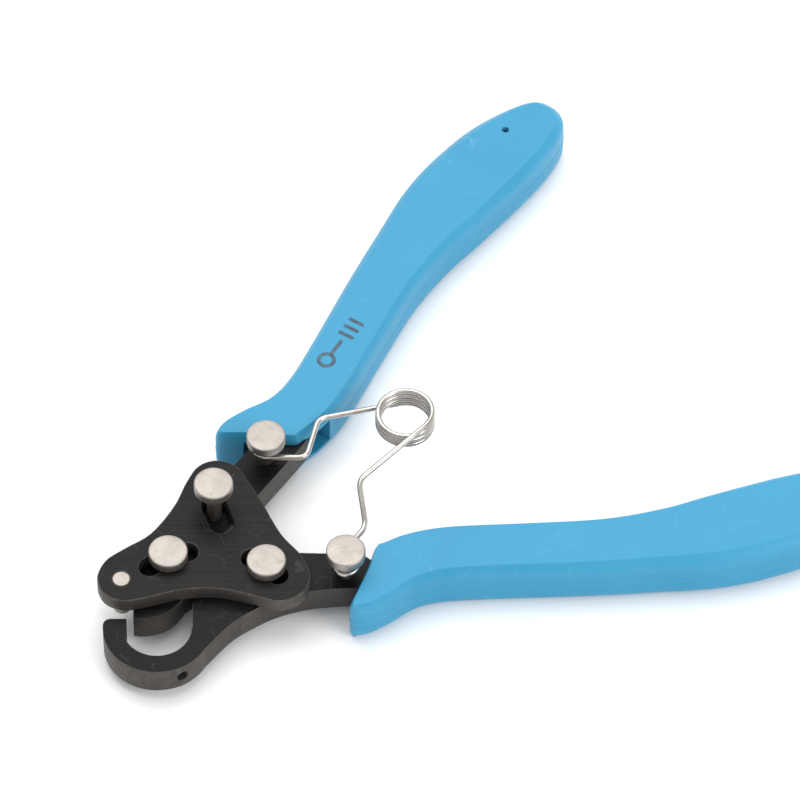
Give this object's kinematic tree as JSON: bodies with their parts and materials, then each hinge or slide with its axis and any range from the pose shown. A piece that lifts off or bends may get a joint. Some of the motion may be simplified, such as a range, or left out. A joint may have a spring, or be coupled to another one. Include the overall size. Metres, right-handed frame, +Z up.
{
  "type": "wire looping pliers",
  "caption": "Long-handled one-step looping pliers: hooked jaw with wire hole, bending finger, head plate with mandrel pin, open torsion spring and moulded grips.",
  "frame": {"origin": "middle of the open tool's box, on the plane that the grips rest on", "axes": "+X along the lower arm's side of the tool, away from the jaws; +Y towards the upper grip; +Z up through the head plate, along every pivot"},
  "size_m": [0.143, 0.132, 0.0184],
  "materials": {
    "blackened_steel": "black oxide, lightly brushed",
    "blackened_plate": "black oxide with fine brushing",
    "satin_steel": "satin turned",
    "spring_wire": "bright drawn wire",
    "grip_plastic": "satin moulded plastic"
  },
  "bodies": {
    "lower_handle": {"lower_arm": "blackened_steel", "main_pivot_stud": "satin_steel", "lower_guide_stud": "satin_steel", "lower_spring_stud": "satin_steel", "lower_grip": "grip_plastic"},
    "upper_handle": {"upper_arm": "blackened_steel", "upper_guide_stud": "satin_steel", "upper_spring_stud": "satin_steel", "upper_grip": "grip_plastic"},
    "head": {"head_plate": "blackened_plate", "mandrel_pin": "satin_steel"},
    "spring_upper": {"spring_upper_half": "spring_wire"},
    "spring_lower": {"spring_lower_half": "spring_wire"}
  },
  "joints": [
    {"name": "handles_close", "type": "hinge", "parent": "lower_handle", "child": "upper_handle", "pos_m": [-0.05865, -0.04273, 0.0053], "axis": [0, 0, -1], "range_deg": [0, 24], "stiffness_Nm_per_rad": 0.12, "springref_deg": -34.38},
    {"name": "head_turn", "type": "hinge", "parent": "lower_handle", "child": "head", "pos_m": [-0.05155, -0.05783, 0.00985], "axis": [0, 0, -1], "range_deg": [0, 6.8]},
    {"name": "spring_upper_turn", "type": "hinge", "parent": "upper_handle", "child": "spring_upper", "pos_m": [-0.04105, -0.01793, 0.01128], "axis": [0, 0, 1], "range_deg": [0, 37.5]},
    {"name": "spring_lower_turn", "type": "hinge", "parent": "lower_handle", "child": "spring_lower", "pos_m": [-0.02625, -0.04393, 0.01068], "axis": [0, 0, 1], "range_deg": [-14, 0]}
  ],
  "couplings": [
    {"joint": "head_turn", "follows": "handles_close", "ratio": 0.28},
    {"joint": "spring_upper_turn", "follows": "handles_close", "ratio": 1.5487},
    {"joint": "spring_lower_turn", "follows": "handles_close", "ratio": -0.5622}
  ]
}
